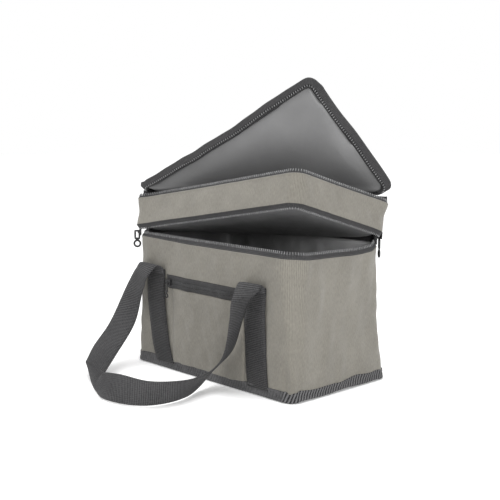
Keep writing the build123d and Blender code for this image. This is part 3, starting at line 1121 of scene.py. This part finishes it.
def build_pocket():
    pocket = face_sheet("pocket_front", -68, 70, 11, 110.5, 1.5, TAUPE, 1.0, (60, 44))
    rides(pocket, "lower_box", "outer_fabric", "pocket_panel")
    tape = face_sheet("pocket_tape", -80, 70, 109.5, 126.5, 2.0, TAPE, 0.9, (70, 10))
    rides(tape, "lower_box", "dark_tape", "pocket_zip_tape")
    template, faces = bar_template(4.2, 1.2, 1.5)
    xs = np.arange(-66, 66, 1.9)  # one tooth every 1.9 mm
    spots = front_face(xs, np.full(len(xs), 118.0), np.full(len(xs), 2.3))
    axes = np.tile(np.array([[0, 0, 1], [1, 0, 0], [0, 1, 0]], float), (len(xs), 1, 1))
    teeth = stack_instances("pocket_teeth", template, faces, spots, axes, DARK_TEETH)
    rides(teeth, "lower_box", "zip_teeth", "pocket_zip_teeth")


# ---------------------------------------------------------------- sliders and pulls
def wire_loop(name, points, radius, material):
    """A closed wire through places in millimetres."""
    curve = bpy.data.curves.new(name, "CURVE")
    curve.dimensions = "3D"
    curve.bevel_depth, curve.bevel_resolution = radius * MM, 3
    line = curve.splines.new("POLY")
    line.points.add(len(points) - 1)
    for point, place in zip(line.points, points):
        point.co = (*(np.array(place) * MM), 1)
    line.use_cyclic_u = True
    shape = bpy.data.objects.new(name, curve)
    bpy.context.scene.collection.objects.link(shape)
    view = bpy.context.evaluated_depsgraph_get()
    mesh = bpy.data.meshes.new_from_object(shape.evaluated_get(view))
    bpy.data.objects.remove(shape)
    return new_object(name, mesh, material)


def join(name, objects):
    """One object from several of the same material."""
    bm = bmesh.new()
    for obj in objects:
        bm.from_mesh(obj.data)
    mesh = bpy.data.meshes.new(name)
    bm.to_mesh(mesh)
    bm.free()
    material = objects[0].data.materials[0]
    for obj in objects:
        bpy.data.objects.remove(obj)
    return new_object(name, mesh, material)


def soft_block(name, size, middle, bevel):
    """A black block with rounded edges."""
    bm = bmesh.new()
    bmesh.ops.create_cube(bm, size=1)
    bmesh.ops.scale(bm, vec=Vector(size) * MM, verts=bm.verts)
    bmesh.ops.bevel(
        bm, geom=bm.edges[:], offset=bevel * MM, segments=3, profile=0.6, affect="EDGES"
    )
    bmesh.ops.translate(bm, vec=Vector(middle) * MM, verts=bm.verts)
    mesh = bpy.data.meshes.new(name)
    bm.to_mesh(mesh)
    bm.free()
    return new_object(name, mesh, BLACK)


def arc(centre, radius, start, end, count):
    """Places round part of a circle in the XZ plane, in degrees."""
    angles = np.radians(np.linspace(start, end, count))
    return [(centre[0] + radius * math.cos(a), 0, centre[1] + radius * math.sin(a)) for a in angles]


def pull(name, length, width, wire):
    """A pull in the XZ plane: a long loop that runs into a ring."""
    ring_r = width / 2 - wire
    loop_w = width * 0.26
    top, foot = -0.2, -length + 2 * ring_r + 4
    outline = [(-loop_w, 0, top), (loop_w, 0, top), (loop_w, 0, foot), (-loop_w, 0, foot)]
    dense = []
    for a, b in zip(outline, outline[1:] + outline[:1]):
        dense += [tuple(np.array(a) + (np.array(b) - a) * t) for t in np.linspace(0, 1, 6)[:-1]]
    frame_part = wire_loop(name + "_frame", dense, wire * 0.95, BLACK)
    centre = (0, -length + ring_r + wire)
    ring_part = wire_loop(name + "_ring", arc(centre, ring_r, 0, 345, 24), wire, BLACK)
    neck_middle = (0, 0, -length + 2 * ring_r + 3.4)
    neck = soft_block(name + "_neck", (loop_w * 1.6, 1.6, 4), neck_middle, 0.6)
    return join(name, [frame_part, ring_part, neck])


def slider(name, size=1.0):
    """A slider on the +Y side of the XZ plane, with a bridge for its pull."""
    body = soft_block(name + "_a", (9 * size, 2.8, 8.6 * size), (0, 1.6, 0), 1.2)
    nose = soft_block(name + "_b", (5, 2.6, 6), (3, 1.6, 0), 1.0)
    bridge = wire_loop(
        name + "_c", [(-3.2, 2.6, 0), (-2.4, 4.4, 0), (2.0, 4.4, 0), (3.2, 2.6, 0)], 0.8, BLACK
    )
    return join(name, [body, nose, bridge])


def put(obj, place, turn):
    """Turns a piece about Z and moves it, in its mesh."""
    matrix = Matrix.Translation(Vector(place) * MM) @ Matrix.Rotation(math.radians(turn), 4, "Z")
    obj.data.transform(matrix)
    obj.data.update()
    return obj


def corner_place(sign, offset, height):
    """A place on the front left (-1) or back right (1) corner, and the turn that faces out."""
    nx, ny = sign * 0.69, sign * 0.724
    turn = math.degrees(math.atan2(ny, nx)) - 90
    x = sign * (HALF_X - CORNER) + nx * (CORNER + offset)
    y = sign * (HALF_Y - CORNER) + ny * (CORNER + offset)
    return (x, y, height), turn


def build_hardware():
    left_place, left_turn = corner_place(-1, 0.6, 176.5)
    for side, sign, body_place, body_turn, size, pull_out, pull_turn in (
        ("left", -1, left_place, left_turn, 1.0, 6.4, 90),
        ("right", 1, (131.5, 76.8, 178.0), -22, 1.35, -2.2, 0),
    ):
        body = put(slider(f"tray_slider_{side}_body", size), body_place, body_turn)
        rides(body, "lower_box", "black_metal", f"tray_slider_{side}")
        place, turn = corner_place(sign, pull_out, 178.6)
        tab = put(pull(f"tray_pull_{side}_tab", 23, 11.0, 1.35), place, turn + pull_turn)
        rides(tab, f"tray_pull_{side}", "black_metal", f"tray_pull_{side}")
    body = put(slider("pocket_slider_body"), (-71, -90.2, 118), 180)
    rides(body, "pocket_slider", "black_metal", "pocket_slider")
    tab = put(pull("pocket_pull_tab", 20, 6.6, 0.8), (-71, -95.2, 117.4), 0)
    rides(tab, "pocket_pull", "black_metal", "pocket_pull")
    body = put(slider("lid_slider_body"), (-149.4, -42, 228.3), 90)
    rides(body, "tray_far", "black_metal", "lid_slider")
    tab = put(pull("lid_pull_tab", 20, 6.6, 0.8), (-155.0, -42, 227.7), 90)
    rides(tab, "lid_pull", "black_metal", "lid_pull")


make_camera()
make_stage()
build_lower_box()
build_tray()
build_lid()
build_pocket()
build_webbing()
build_hardware()
